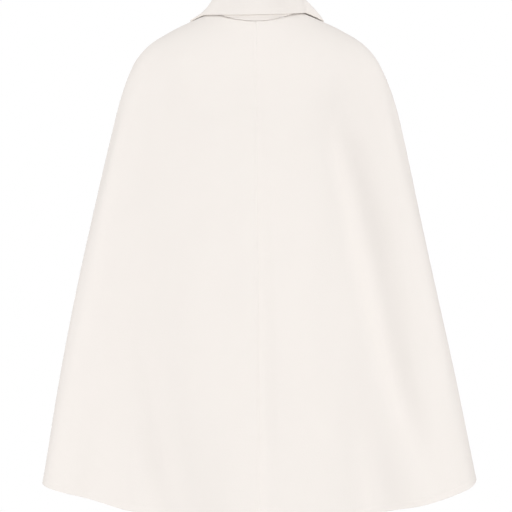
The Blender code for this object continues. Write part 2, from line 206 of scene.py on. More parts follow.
# %% The small folds, which only the dressed cloth has
SMALL_COLUMNS = ("top_angle", "end_angle", "half_width", "depth", "starts", "deepest", "ends")
SMALL_FOLDS = {
    "dent right of the back seam":            (92.0, 91.7, 1.7, -0.0044, 5.0, 8.6, 10.6),
    "lift left of the back seam":             (86.0, 87.5, 2.6, 0.0010, 5.4, 7.0, 10.4),
    "drag line from the left shoulder":       (38, 62, 4.2, -0.0012, 2.6, 4.4, 7.4),
    "drag line from the right shoulder":      (139, 118, 4.0, -0.0022, 2.6, 4.2, 6.6),
    "break over the left arm":                (12, 16, 5.5, -0.0024, 4.3, 5.9, 8.4),
    "break over the right arm":               (166, 170, 5.0, -0.0026, 4.1, 5.5, 7.9),
    "lip left of the trough's shadow":        (118.0, 123.5, 4.0, 0.0024, 4.9, 7.8, 9.8),
    "floor right of the trough's shadow":     (125.0, 134.5, 4.6, -0.0044, 4.9, 7.8, 9.8),
    "filling left of the trough":             (115.0, 121.0, 4.6, 0.0020, 4.0, 6.2, 8.8),
    "filling of the left hollow":             (49.0, 68.0, 6.0, 0.0030, 6.4, 8.8, 12.4),
    "lip of the trough's tail":               (123.0, 131.0, 4.0, 0.0030, 7.2, 8.8, 10.4),
    "tail of the trough":                     (129.5, 140.5, 4.2, -0.0105, 7.2, 8.7, 10.4),
    "lip of the hem's right trough":          (112.0, 115.0, 4.0, 0.0036, 8.0, 10.0, 12.0),
    "floor of the hem's right trough":        (126.0, 130.0, 4.4, -0.0060, 8.0, 10.0, 12.0),
    "wave at the hem, left of the seam":      (75, 77, 4.2, -0.0030, 7.8, 10.0, 10.9),
    "crest at the hem, left of the seam":     (83, 84, 3.4, 0.0022, 8.2, 10.0, 10.8),
    "wave at the hem, right of the seam":     (98, 97, 3.8, 0.0024, 8.0, 10.0, 10.8),
    "wave at the hem, far left":              (30, 29, 4.0, 0.0026, 8.1, 10.0, 10.8),
    "wave at the hem, far right":             (150, 151, 4.4, -0.0026, 8.3, 10.0, 10.8),
    "drag line from the left of the neck":    (303, 318, 4.0, -0.0026, 2.8, 4.6, 7.8),
    "drag line from the right of the neck":   (238, 222, 4.2, -0.0028, 2.8, 4.4, 7.4),
    "dent left of the lap":                   (283, 281, 3.0, -0.0020, 4.6, 6.4, 9.0),
    "dent right of the lap":                  (257, 260, 3.0, -0.0018, 5.0, 6.9, 9.4),
    "wave at the hem, left front":            (322, 321, 4.4, 0.0028, 8.2, 10.0, 10.8),
    "wave at the hem, right front":           (219, 220, 4.0, -0.0026, 8.0, 10.0, 10.8),
}
WAVE_COLUMNS = ("across", "down", "phase", "height")
WAVES = {
    "long":   (5.0, 0.9, 0.4, 0.0008),
    "middle": (11.0, -1.7, 2.1, 0.0005),
    "short":  (19.0, 2.6, 4.0, 0.00025),
}
WAVES_FROM, WAVES_FULL = 2.5, 4.5
QUIET_FROM, QUIET_FADE = 0.030, 0.050


def small_folds(angle, v):
    """How far the small folds and the low waves move the cloth out, in metres.

    They fade towards the centre front, where the lap has to lie flat under its buttons."""
    moved = np.zeros(np.broadcast(angle, v).shape)
    for row in SMALL_FOLDS.values():
        fold = dict(zip(SMALL_COLUMNS, row))
        way = (v - fold["starts"]) / (fold["ends"] - fold["starts"])
        middle = fold["top_angle"] + (fold["end_angle"] - fold["top_angle"]) * way
        grown = ease((v - fold["starts"]) / (fold["deepest"] - fold["starts"]))
        gone = ease((v - fold["deepest"]) / (fold["ends"] - fold["deepest"]))
        off = turn_apart(angle, middle) / fold["half_width"]
        moved = moved + fold["depth"] * grown * (1.0 - gone) * np.exp(-0.5 * off**2)
    for row in WAVES.values():
        wave = dict(zip(WAVE_COLUMNS, row))
        swing = np.sin(wave["across"] * np.radians(angle) + wave["down"] * v + wave["phase"])
        moved = moved + wave["height"] * swing * ease((v - WAVES_FROM) / (WAVES_FULL - WAVES_FROM))
    beside_centre_front = np.abs(between_rings(v)["side_x"] * np.cos(np.radians(angle)))
    in_front = np.sin(np.radians(angle)) < 0
    return moved * np.where(in_front, ease((beside_centre_front - QUIET_FROM) / QUIET_FADE), 1.0)


print("small folds:", len(SMALL_FOLDS), "and", len(WAVES), "low waves")

# %% [markdown]
# ## How a panel's edges are finished
# Double-faced cloth is two layers woven as one. A tailor parts the layers at an edge, turns both in by
# about a centimetre and closes them by hand, so there is no lining and no facing. That leaves a
# slightly fuller band along each free edge, with a faint groove where the stitches pull. At a seam the
# two panels dip towards each other and pucker a little. We give each point its distance from the
# panel's edges, and work out the relief from that.

# %% The relief beside seams and free edges
CLOTH = 0.0025
SEAM_GAP = 0.0003
OVERLAP_GAP = 0.0005
SEAM_DIP, SEAM_REACH = 0.0005, 0.0016
PUCKER, PUCKER_REACH = 0.00025, 0.012
PUCKER_PITCHES, PUCKER_SHIFT = (0.019, 0.031, 0.053), 40.0
TURNED, TURNED_RISE = 0.0100, 0.00018
BAND_FULL, BAND_FADE, GROOVE_PLACE = 0.85 * TURNED, 0.3 * TURNED, 1.04 * TURNED
GROOVE, GROOVE_REACH, GROOVE_UNEVEN = 0.00014, 0.0012, 0.25
NEAR_SEAM = (0.0, 0.0005, 0.0011, 0.0019, 0.0030, 0.0045, 0.0070, 0.0110, 0.0160)
NEAR_FREE = (0.0, 0.0014, 0.0030, 0.0050, 0.0072, 0.0088, 0.0100, 0.0112, 0.0130, 0.0165)


def seam_relief(distance, run):
    """The dip beside a seam, with its puckers. run is how far along the seam a point is."""
    waves = sum(np.sin(2 * math.pi * run / pitch + PUCKER_SHIFT * pitch) for pitch in PUCKER_PITCHES)
    dip = -SEAM_DIP * np.exp(-((distance / SEAM_REACH) ** 2))
    return dip + PUCKER / 2 * waves * np.exp(-((distance / PUCKER_REACH) ** 2))


def free_relief(distance, run):
    """The fuller band along a free edge, and the groove that its stitches draw."""
    uneven = 1.0 + GROOVE_UNEVEN * np.sin(2 * math.pi * run / PUCKER_PITCHES[1])
    band = TURNED_RISE * (1.0 - ease((distance - BAND_FULL) / BAND_FADE))
    groove = GROOVE * uneven * np.exp(-(((distance - GROOVE_PLACE) / GROOVE_REACH) ** 2))
    return band - groove


def plain_relief(distance, run):
    """No relief, for the edge of the lower front, which the upper one covers."""
    return np.zeros_like(distance)


print("the fuller band of a free edge is", round(1000 * TURNED), "mm wide")

# %% [markdown]
# ## From a grid of points to cloth
# Each piece of cloth starts as one sheet of quads: the outer face of a panel, or the middle of the
# collar's cloth. The Solidify modifier then gives it its thickness, and a small Bevel rounds the cut
# edges, as felted wool is never sharp. Its UV map is in real metres, across the cloth and down it, so
# that the nap of the wool can follow the grain.

# %% A sheet of cloth
CELL = 0.006
SHARP, SMOOTH = math.radians(55), math.radians(50)
ROUNDING, ROUNDING_STEPS = 0.4, 3


def only(obj):
    """Makes one object the only selected and active one."""
    bpy.ops.object.select_all(action="DESELECT")
    obj.select_set(True)
    bpy.context.view_layer.objects.active = obj


def apply_modifiers(obj):
    only(obj)
    for modifier in list(obj.modifiers):
        bpy.ops.object.modifier_apply(modifier=modifier.name)


def stops(length, count, near_start, near_end):
    """Distances across a piece: close steps at both edges, and even ones between."""
    start, end = np.array(near_start), length - np.array(near_end[::-1])
    return np.concatenate([start, np.linspace(start[-1], end[0], count + 1)[1:-1], end])


def lengths(points):
    """Distances along a row of points, from 0 at the first."""
    steps = np.linalg.norm(np.diff(points, axis=0), axis=-1)
    return np.concatenate([[0.0], np.cumsum(steps)])


def bevel_modifier(obj, name, width, limit):
    """A bevel that waits to be applied. limit says what chooses its edges."""
    soft = obj.modifiers.new(name, "BEVEL")
    soft.width = width
    soft.segments = ROUNDING_STEPS
    soft.limit_method = limit
    return soft


def round_free_edges(obj, width):
    """Rounds the rims of a closed sheet where its points are marked as a free edge."""
    shape = bmesh.new()
    shape.from_mesh(obj.data)
    free = shape.verts.layers.float["free_edge"]
    weight = shape.edges.layers.float.new("bevel_weight_edge")
    for edge in shape.edges:
        sharp = edge.calc_face_angle(0.0) > SHARP
        edge[weight] = float(sharp and all(vert[free] > 0.5 for vert in edge.verts))
    shape.to_mesh(obj.data)
    shape.free()
    bevel_modifier(obj, "rounded edges", width, "WEIGHT")
    apply_modifiers(obj)


def cloth_sheet(name, points, across, down, thickness, side, free):
    """A closed piece of cloth from rows of points that run down it, each from left to right.

    across and down are the points' places on the flat cloth. side says where the thickness goes:
    -1 behind the points, 0 on both sides of them. free says which points lie on a free edge."""
    rows, columns = points.shape[:2]
    number = np.arange(rows * columns).reshape(rows, columns)
    quads = np.stack([number[:-1, :-1], number[1:, :-1], number[1:, 1:], number[:-1, 1:]], axis=-1)
    mesh = bpy.data.meshes.new(name)
    mesh.from_pydata(points.reshape(-1, 3).tolist(), [], quads.reshape(-1, 4).tolist())
    corner = np.empty(len(mesh.loops), int)
    mesh.loops.foreach_get("vertex_index", corner)
    place = np.stack([across.ravel()[corner], down.ravel()[corner]], axis=-1)
    mesh.uv_layers.new(name="Flat").uv.foreach_set("vector", place.ravel())
    obj = bpy.data.objects.new(name, mesh)
    bpy.context.scene.collection.objects.link(obj)
    area = sum(face.area for face in mesh.polygons)
    longest = np.linalg.norm(np.diff(points, axis=0), axis=-1).sum(axis=0).max()
    obj["flat_size"] = [float(across.max()), float(longest), area]
    marks = mesh.attributes.new("free_edge", "FLOAT", "POINT")
    marks.data.foreach_set("value", free.astype(float).ravel())
    wall = obj.modifiers.new("thickness", "SOLIDIFY")
    wall.thickness = thickness
    wall.offset = side
    wall.use_even_offset = True
    apply_modifiers(obj)
    round_free_edges(obj, ROUNDING * thickness)
    bpy.ops.object.shade_smooth_by_angle(angle=SMOOTH)
    print(f"{name}: {area:.4f} square metres of cloth, {len(obj.data.polygons)} faces")
    return obj


# %% [markdown]
# ## The four panels
# A cape this wide is cut as two backs and two fronts, with one seam down the centre back and one down
# each side, over the shoulder and along the arm. A panel lies between two lines that run down the cape.
# Where the line is a seam, the edges of both neighbours meet on it. The right front laps over the left
# one, so it climbs a cloth's thickness before it reaches the centre.

# %% The lines between the panels
LAP = 0.026
LAP_RISE_FROM, LAP_RISE_TO = -0.075, -0.032
LAP_LIFT = CLOTH + OVERLAP_GAP
LINE_SAMPLES, ROW_SAMPLES = 1601, 241


def at(angle):
    """A line that stays at one angle all the way down."""
    return lambda v: np.full(np.shape(v), angle)


def beside_centre(side):
    """A line LAP beside the centre front, towards the wearer's left where side is 1."""
    return lambda v: FRONT + side * np.degrees(np.arcsin(LAP / between_rings(v)["side_x"]))


def lap_lift(points):
    """How far the upper front climbs over the lower one."""
    over = ease((points[..., 0] - LAP_RISE_FROM) / (LAP_RISE_TO - LAP_RISE_FROM))
    return LAP_LIFT * over


print("the fronts overlap by", round(2000 * LAP), "mm")


# %% A panel between two lines
def panel(name, first, last, edges, lift=None):
    """A panel of the cape between two lines. edges gives the relief at the first line and the last."""
    fine = np.linspace(0.0, HEM, LINE_SAMPLES)
    down_line = lengths(cape_point((first(fine) + last(fine)) / 2, fine))
    down = stops(down_line[-1], round(down_line[-1] / CELL), NEAR_SEAM, NEAR_FREE)
    rows = np.interp(down, down_line, fine)
    share = np.linspace(0.0, 1.0, ROW_SAMPLES)
    hem_turn = first(HEM) + (last(HEM) - first(HEM)) * share
    hem_width = lengths(cape_point(hem_turn, np.full(share.shape, HEM)))
    count = round(hem_width[-1] / CELL)
    near = [NEAR_SEAM if edge is seam_relief else NEAR_FREE for edge in edges]
    angle, across, left_over = [], [], []
    for v in rows:
        turn = first(v) + (last(v) - first(v)) * share
        run = lengths(cape_point(turn, np.full(share.shape, v)))
        stop = stops(run[-1], count, *near)
        angle.append(np.interp(stop, run, turn))
        across.append(stop)
        left_over.append(run[-1] - stop)
    angle, across, left_over = np.array(angle), np.array(across), np.array(left_over)
    v = np.broadcast_to(rows[:, None], angle.shape)
    run_down = np.broadcast_to(down[:, None], angle.shape)
    out, _ = cape_frame(angle, v)
    relief = seam_relief(run_down, across) + free_relief(down[-1] - run_down, across)
    relief = relief + small_folds(angle, v)
    for line, edge, distance in ((first, edges[0], across), (last, edges[1], left_over)):
        seam_run = np.interp(rows, fine, lengths(cape_point(line(fine), fine)))
        relief = relief + edge(distance, seam_run[:, None])
    points = cape_point(angle, v)
    if lift is not None:
        relief = relief + lift(points)
    points = points + out * relief[..., None]
    free = np.zeros(angle.shape, bool)
    free[:, 0] = edges[0] is not seam_relief
    free[:, -1] = edges[1] is not seam_relief
    free[-1] = True
    return cloth_sheet(name, points, across, run_down, CLOTH, -1.0, free)


cloth = {
    "back_left": panel("cloth_back_left", at(LEFT_SIDE), at(BACK), (seam_relief, seam_relief)),
    "back_right": panel("cloth_back_right", at(BACK), at(RIGHT_SIDE), (seam_relief, seam_relief)),
    "front_right": panel(
        "cloth_front_right", at(RIGHT_SIDE), beside_centre(1.0), (seam_relief, free_relief), lap_lift
    ),
    "front_left": panel(
        "cloth_front_left", beside_centre(-1.0), at(LEFT_SIDE + 360.0), (plain_relief, seam_relief)
    ),
}

# %% [markdown]
# ## The collar
# The collar has two pieces. The stand is a band that rises from the neck seam and leans in towards the
# neck. The fall is sewn to the top of the stand, rolls over, and comes down outside it: at the back it
# hugs the stand, at the shoulders it spreads and rests on the cape, and in front it ends in two
# points. Here both are worked out across the middle of their cloth, one line of points for each place
# round the neck. The dressed fall rests a little closer to the cape than its solid does, so that less
# shade gathers under its edge.

# %% The collar's sizes
COLLAR_CLOTH = 0.0030
STAND_HEIGHT = (0.050, 0.040, 0.026)
STAND_LEAN = (14.0, 27.0, 20.0)
LEAN_TO_RIGHT = 0.15
FALL_REACH = (1.06, 2.45)
REACH_TO_RIGHT = 0.06
TURN_GAP = 0.0004
LEG, ROLL = 0.004, 0.0048
COLLAR_END = 0.0015
POINT_ANGLE = 26.0
REST_GAP = 0.0004
FALL_CURVE = 0.43
EDGE_HEIGHT, EDGE_DROP, EDGE_TILT = -0.0026, 0.158, 0.012
EDGE_TURNS = (0.32, 0.20)
CORNER = 0.006
RIGHT_SPRING = 1.2
STAND_STEPS, LEG_STEPS, ROLL_STEPS = 15, 3, 14
COLLAR_CELL, NECK_SAMPLES = 0.004, 1201


def collar_size(sizes, angle):
    """A size at an angle, between its values at the centre back, the side and the centre front."""
    back, side, front = sizes
    s = np.sin(np.radians(angle))
    return side + (np.where(s >= 0, back, front) - side) * s**2


def collar_base(angle):
    """The foot of the stand, and the ways up the stand and out of it."""
    neck = cape_point(angle, np.zeros_like(angle))
    along = ring_point(angle + SLOPE_STEP, 0 * angle) - ring_point(angle - SLOPE_STEP, 0 * angle)
    out = unit(np.stack([along[..., 1], -along[..., 0], 0 * along[..., 0]], axis=-1))
    lean = np.radians(collar_size(STAND_LEAN, angle))[..., None]
    up = np.array([0.0, 0.0, 1.0])
    rise = unit(np.cos(lean) * up - np.sin(lean) * out - [LEAN_TO_RIGHT, 0.0, 0.0])
    across = unit(out - rise * np.sum(out * rise, axis=-1, keepdims=True))
    return neck + up * SEAM_GAP - out * COLLAR_CLOTH / 2, rise, across


def collar_angles():
    """Angles at even steps round the neck seam, from the left end to the right end."""
    short = math.degrees(math.asin(COLLAR_END / RINGS["neck seam"][0]))
    fine = np.linspace(FRONT - 360.0 + short, FRONT - short, NECK_SAMPLES)
    run = lengths(cape_point(fine, 0 * fine))
    return np.interp(stops(run[-1], round(run[-1] / COLLAR_CELL), NEAR_FREE, NEAR_FREE), run, fine)


print("the collar is worked out at", len(collar_angles()), "places round the neck")


# %% A collar piece from its middle surface
def collar_sheet(name, middle, free_edge):
    """Cloth about the middle surface. Its ends are free edges, and its last row is one if free_edge."""
    across = np.cumsum(np.linalg.norm(np.diff(middle, axis=1, prepend=middle[:, :1]), axis=-1), axis=1)
    down = np.cumsum(np.linalg.norm(np.diff(middle, axis=0, prepend=middle[:1]), axis=-1), axis=0)
    if free_edge:
        out = unit(np.cross(np.gradient(middle, axis=0), np.gradient(middle, axis=1)))
        relief = free_relief(down[-1:] - down, across)
        relief = relief + free_relief(across, down) + free_relief(across[:, -1:] - across, down)
        outside = ease(down / (2.0 * math.pi * ROLL))
        middle = middle + out * (relief * outside)[..., None]
    free = np.zeros(middle.shape[:2], bool)
    free[:, (0, -1)] = True
    free[-1] |= free_edge
    return cloth_sheet(name, middle, across, down, COLLAR_CLOTH, 0.0, free)


def stand_points(angle):
    base, rise, _ = collar_base(angle)
    height = collar_size(STAND_HEIGHT, angle)[:, None]
    share = np.linspace(0.0, 1.0, STAND_STEPS)
    return base[None] + rise[None] * height[None] * share[:, None, None]


cloth["collar_stand"] = collar_sheet("cloth_collar_stand", stand_points(collar_angles()), False)


# %% [markdown]
# The fall starts as a short leg that carries on up from the stand. It rolls over in a half turn, whose
# radius is set by the thickness of the wool, and then a curve takes it down to its edge. Behind the
# neck the edge lies in one plane and hugs the foot of the stand. From the shoulders forwards it rests
# on the cape, so the curve arrives there along the cape's slope instead of poking into it.

# %% The fall's edge
PLANE_REACH, PLANE_SAMPLES = 1.5, 61
FRONT_FROM = 0.1
REACH_STEP = 0.1


def behind(angle):
    """1 where the fall's edge lies in its plane behind the neck, and 0 from the shoulders forwards."""
    left, right = EDGE_TURNS
    turns = (left + right) / 2 + (left - right) / 2 * np.cos(np.radians(angle))
    return ease(np.sin(np.radians(angle)) / turns)


def plane_edge(angle):
    """Where the plane of the fall's back edge meets the stand or the cape.

    Returns the height above the stand's foot, and the ring's number on the cape below it."""
    base, rise, _ = collar_base(angle)
    plane = np.array([EDGE_TILT, EDGE_DROP, 1.0])
    height = (EDGE_HEIGHT - base @ plane) / (rise @ plane)
    rings = np.linspace(0.0, PLANE_REACH, PLANE_SAMPLES)
    reach = []
    for turn in angle:
        drop = EDGE_HEIGHT - cape_point(np.full_like(rings, turn), rings) @ plane
        reach.append(np.interp(0.0, drop, rings))
    return np.maximum(height, 0.0), np.array(reach)


def fall_edge(angle):
    """The fall's free edge, and the way down the cape beneath it."""
    s, c = np.sin(np.radians(angle)), np.cos(np.radians(angle))
    to_front = ease((-s - FRONT_FROM) / (1.0 - FRONT_FROM))
    turned = angle + np.sign(c) * POINT_ANGLE * to_front
    in_plane = behind(angle)
    height, back_reach = plane_edge(angle)
    height = height * in_plane
    at_side, at_front = FALL_REACH
    rest_reach = at_side + (at_front - at_side) * np.clip(-s, 0.0, 1.0) ** 2 - REACH_TO_RIGHT * c
    reach = rest_reach + (back_reach - rest_reach) * in_plane
    _, rise, across = collar_base(angle)
    out, _ = cape_frame(turned, reach)
    foot = cape_point(turned, reach)
    facing = np.sum(across * out, axis=-1)
    by_cape = 1.0 - ease(height / CORNER)
    from_seam = np.linalg.norm(foot - cape_point(turned, 0 * reach), axis=-1)
    by_stand = in_plane * (1.0 - ease(from_seam / CORNER))
    clear = REST_GAP + COLLAR_CLOTH / 2 + LAP_LIFT * ease(to_front * 2.0)
    off_cape = out * (clear * by_cape / (1.0 + facing * by_stand))[:, None]
    off_stand = across * (clear * by_stand / (1.0 + facing * by_cape))[:, None]
    above = np.maximum(reach - REACH_STEP, 0.0)
    down = unit(cape_point(turned, reach + REACH_STEP) - cape_point(turned, above))
    return foot + rise * height[:, None] + off_cape + off_stand, down


lowest = fall_edge(collar_angles())[0][:, 2].min()
print("the fall's points hang", round(-1000 * lowest), "mm below the shoulder seams' neck ends")


# %% The fall
CURVE_SAMPLES = 161


def fall_points(angle):
    base, rise, across = collar_base(angle)
    top = base + rise * collar_size(STAND_HEIGHT, angle)[:, None]
    slope = np.sum(unit(np.gradient(top, axis=0)) * rise, axis=-1, keepdims=True)
    top = top + rise * TURN_GAP / np.sqrt(1.0 - slope**2)
    rows = [top + rise * LEG * share for share in np.linspace(0.0, 1.0, LEG_STEPS)]
    for turn in np.linspace(0.0, math.pi, ROLL_STEPS + 1)[1:]:
        rows.append(top + rise * (LEG + ROLL * math.sin(turn)) + across * ROLL * (1.0 - math.cos(turn)))
    start = rows[-1]
    edge, down = fall_edge(angle)
    length = np.linalg.norm(edge - start, axis=-1, keepdims=True)
    resting = 1.0 - behind(angle)[:, None]
    spring = RIGHT_SPRING * np.clip(-np.cos(np.radians(angle)), 0.0, 1.0)[:, None] ** 4
    straight = unit(edge - start)
    arrival = unit(straight * (1.0 - resting) + down * resting - np.array([0.0, 0.0, 1.0]) * spring)
    first = start - rise * length * FALL_CURVE
    second = edge - arrival * length * FALL_CURVE
    t = np.linspace(0.0, 1.0, CURVE_SAMPLES)[:, None, None]
    curve = start * (1 - t) ** 3 + 3 * first * t * (1 - t) ** 2
    curve = curve + 3 * second * t**2 * (1 - t) + edge * t**3
    even = []
    for column in range(curve.shape[1]):
        run = lengths(curve[:, column])
        near = np.array(NEAR_FREE[::-1])
        steps = round(length.max() / COLLAR_CELL)
        stop = np.concatenate([np.linspace(0.0, run[-1] - near[0], steps)[1:-1], run[-1] - near])
        even.append(np.stack([np.interp(stop, run, curve[:, column, k]) for k in range(3)], axis=-1))
    return np.concatenate([np.array(rows), np.stack(even, axis=1)])


cloth["collar_fall"] = collar_sheet("cloth_collar_fall", fall_points(collar_angles()), True)

# %% [markdown]
# ## Buttons
# Three resin buttons close the lap. A maker turns such a button on a lathe: a raised rim, a shallow
# dish, and four holes for the thread. We do the same by hand in edit mode. A cylinder's top face is
# inset to leave the rim, pushed down for the dish, and four thin cylinders are cut through it. The
# button is modelled once, lying flat with its back at height 0, and copied to its three places.

# %% One button
BUTTON_RADIUS, BUTTON_THICKNESS = 0.0125, 0.0042
BUTTON_RIM, BUTTON_DISH = 0.0026, 0.0011
DISH_STEPS = ((0.0013, 0.75), (0.0016, 0.25))
HOLE_RADIUS, HOLE_PLACE, DRILL_LENGTH = 0.0010, 0.0021, 0.02
WORN, WORN_ANGLE, RESIN_SMOOTH = 0.00035, math.radians(25), math.radians(40)
BUTTON_SECTIONS = {"button_1": 2.15, "button_2": 4.55, "button_3": 6.35}


def select_faces(obj, wanted):
    """Enters edit mode with only the faces selected for which wanted is true."""
    only(obj)
    bpy.ops.object.mode_set(mode="EDIT")
    bpy.ops.mesh.select_mode(type="FACE")
    bpy.ops.mesh.select_all(action="DESELECT")
    bpy.ops.object.mode_set(mode="OBJECT")
    for face in obj.data.polygons:
        face.select = wanted(face)
    bpy.ops.object.mode_set(mode="EDIT")


def button_blank():
    """A round of resin with a rim and a dish in two steps."""
    bpy.ops.object.select_all(action="DESELECT")
    bpy.ops.mesh.primitive_cylinder_add(
        vertices=80, radius=BUTTON_RADIUS, depth=BUTTON_THICKNESS, location=(0, 0, BUTTON_THICKNESS / 2)
    )
    blank = bpy.context.object
    bpy.ops.object.transform_apply(location=True)
    select_faces(blank, lambda face: face.normal.z > 0.9)
    bpy.ops.mesh.inset(thickness=BUTTON_RIM)
    for inward, share in DISH_STEPS:
        bpy.ops.mesh.inset(thickness=inward)
        bpy.ops.transform.translate(value=(0, 0, -share * BUTTON_DISH))
    bpy.ops.object.mode_set(mode="OBJECT")
    return blank


def drill(blank):
    """Cuts the four holes, and rounds all the edges a little."""
    drills = []
    for x, y in ((1, 1), (-1, 1), (-1, -1), (1, -1)):
        bpy.ops.object.select_all(action="DESELECT")
        bpy.ops.mesh.primitive_cylinder_add(
            vertices=24, radius=HOLE_RADIUS, depth=DRILL_LENGTH, location=(x * HOLE_PLACE, y * HOLE_PLACE, 0)
        )
        drills.append(bpy.context.object)
    for bit in drills:
        cut = blank.modifiers.new("hole", "BOOLEAN")
        cut.object = bit
        cut.operation = "DIFFERENCE"
        cut.solver = "EXACT"
    apply_modifiers(blank)
    for bit in drills:
        bpy.data.objects.remove(bit)
    bevel_modifier(blank, "worn edges", WORN, "ANGLE").angle_limit = WORN_ANGLE
    apply_modifiers(blank)
    bpy.ops.object.shade_smooth_by_angle(angle=RESIN_SMOOTH)


model_button = button_blank()
drill(model_button)
print("one button:", len(model_button.data.polygons), "faces")

# %% [markdown]
# ## Where things sit on the lap
# A button stands straight out of the cloth at the centre front. We need the cloth's surface there: a
# point, the way out of it, and the way across it. The same place is needed for the buttonholes, so it
# is one function of the distance from the centre front and the ring's number.

# %% Places on the upper front
def on_lap(across, v, proud=0.0):
    """The frame of the upper front's face: x runs to the wearer's left, y up, and z out of the cloth."""
    half_width = float(between_rings(v)["side_x"])
    angle = np.array([FRONT + math.degrees(math.asin(across / half_width))])
    v = np.array([float(v)])
    out, around = cape_frame(angle, v)
    point = cape_point(angle, v)[0] + out[0] * (LAP_LIFT + proud)
    x, z = Vector(around[0]), Vector(out[0])
    y = z.cross(x)
    frame_here = Matrix((x, y, z)).transposed().to_4x4()
    frame_here.translation = Vector(point)
    return frame_here


def placed_copy(model, name, place):
    """A copy of a model with its own mesh, moved to its place in the mesh."""
    copy = model.copy()
    copy.data = model.data.copy()
    copy.name = copy.data.name = name
    bpy.context.scene.collection.objects.link(copy)
    copy.data.transform(place)
    return copy


buttons = {
    node: placed_copy(model_button, f"resin_{node}", on_lap(0.0, v, SEAM_GAP))
    for node, v in BUTTON_SECTIONS.items()
}
bpy.data.objects.remove(model_button)
for node, v in BUTTON_SECTIONS.items():
    print(node, "at", [round(x, 3) for x in on_lap(0.0, v).translation])

# %% [markdown]
# Each button is sewn on with two bars of thread, three strands to a bar. A strand goes up through one
# hole and down through the next, which makes it a loop, so a torus squeezed to an oval is the right
# start. Only the part above the dish shows, but the whole loop is there, down into the cloth.

# %% The thread that holds a button
STRAND_RADIUS = 0.00028
STRANDS_APART = 0.00052
LOOP_BACK, LOOP_RISE = -0.0012, 0.00055


def joined(pieces):
    """Joins pieces into the first of them."""
    bpy.ops.object.select_all(action="DESELECT")
    for piece in pieces:
        piece.select_set(True)
    bpy.context.view_layer.objects.active = pieces[0]
    bpy.ops.object.join()
    return bpy.context.object


def thread_model():
    """Six loops of thread through a button's four holes."""
    loops = []
    low, high = LOOP_BACK, BUTTON_THICKNESS - BUTTON_DISH + LOOP_RISE
    for bar in (-1, 1):
        for strand in (-1, 0, 1):
            bpy.ops.object.select_all(action="DESELECT")
            bpy.ops.mesh.primitive_torus_add(
                major_segments=32, minor_segments=8, major_radius=HOLE_PLACE, minor_radius=STRAND_RADIUS,
                rotation=(math.pi / 2, 0, 0),
            )
            loop = bpy.context.object
            loop.scale = (1.0, (high - low) / 2 / HOLE_PLACE, 1.0)
            loop.location = (0, bar * HOLE_PLACE + strand * STRANDS_APART, (low + high) / 2)
            bpy.ops.object.transform_apply(location=True, rotation=True, scale=True)
            loops.append(loop)
    loops = joined(loops)
    bpy.ops.object.shade_smooth()
    return loops


model_thread = thread_model()
threads = {
    node: placed_copy(model_thread, f"thread_{node}", on_lap(0.0, v, SEAM_GAP))
    for node, v in BUTTON_SECTIONS.items()
}
bpy.data.objects.remove(model_thread)
print("thread:", len(threads), "sets of six loops")

# %% [markdown]
# ## Buttonholes
# A buttonhole in a wool coat is a slit 27 mm long with thread worked over both its lips, one close
# stitch beside the next. It starts a little past the centre front, so that the button sits at its end,
# and only about 11 mm of it shows beside the button. One stitch is modelled, a small drop of thread,
# and laid down again and again along both lips and round the ends.

# %% The worked stitches
SLIT_LENGTH, SLIT_END = 0.027, 0.0030
STITCH_PITCH = 0.00085
STITCH_LENGTH, STITCH_WIDTH, STITCH_HEIGHT = 0.0021, 0.00046, 0.00042
LIP = 0.00012
END_FAN = (-60, -30, 0, 30, 60)


def stitch_model():
    """One stitch: a small drop of thread that lies across the lip."""
    bpy.ops.object.select_all(action="DESELECT")
    bpy.ops.mesh.primitive_uv_sphere_add(segments=8, ring_count=6, radius=1.0)
    stitch = bpy.context.object
    stitch.scale = (STITCH_WIDTH, STITCH_LENGTH / 2, STITCH_HEIGHT)
    bpy.ops.object.transform_apply(scale=True)
    bpy.ops.object.shade_smooth()
    return stitch


def stitch_places():
    """Places of the stitches round the slit, as distances along and across it and a turn."""
    places = []
    count = round(SLIT_LENGTH / STITCH_PITCH)
    middle = LIP + STITCH_LENGTH / 2
    for lip in (-1, 1):
        for k in range(count + 1):
            places.append((SLIT_END - SLIT_LENGTH * k / count, lip * middle, 0.0))
    for end, way in ((SLIT_END, 1), (SLIT_END - SLIT_LENGTH, -1)):
        for turn in END_FAN:
            across = math.radians(90 - turn)
            along = end + way * middle * math.sin(across)
            places.append((along, middle * math.cos(across), -way * across))
    return places


def buttonhole(node, v):
    """The worked edge of one buttonhole, at ring v."""
    stitch = stitch_model()
    worked = []
    for along, across, turn in stitch_places():
        lift = Matrix.Translation((0, across, 0.5 * STITCH_HEIGHT)) @ Matrix.Rotation(turn, 4, "Z")
        worked.append(placed_copy(stitch, "stitch", on_lap(along, v) @ lift))
    bpy.data.objects.remove(stitch)
    hole = joined(worked)
    hole.name = hole.data.name = f"buttonhole_{node}"
    return hole


buttonholes = {node: buttonhole(node, v) for node, v in BUTTON_SECTIONS.items()}
print("stitches in a buttonhole:", len(stitch_places()))

# %% [markdown]
# ## Writing a finish
# A material is a small sum: noises of several sizes are added up, and their total changes the colour,
# the roughness and the bumps. Written node by node that is hard to read. This class wraps a node's
# output so that ordinary Python sums add the Math nodes, and one method adds any other node.

# %% Sums on sockets
class Amount:
    """A node's output that can be added and multiplied."""

    def __init__(self, finish, socket):
        self.finish, self.socket = finish, socket

    def sum(self, operation, first, second):
        return self.finish.node("ShaderNodeMath", {"operation": operation}, {0: first, 1: second})

    def __add__(self, other):
        return self.sum("ADD", self, other)

    def __radd__(self, other):
        return self.sum("ADD", other, self)

    def __mul__(self, other):
        return self.sum("MULTIPLY", self, other)

    def __rmul__(self, other):
        return self.sum("MULTIPLY", other, self)


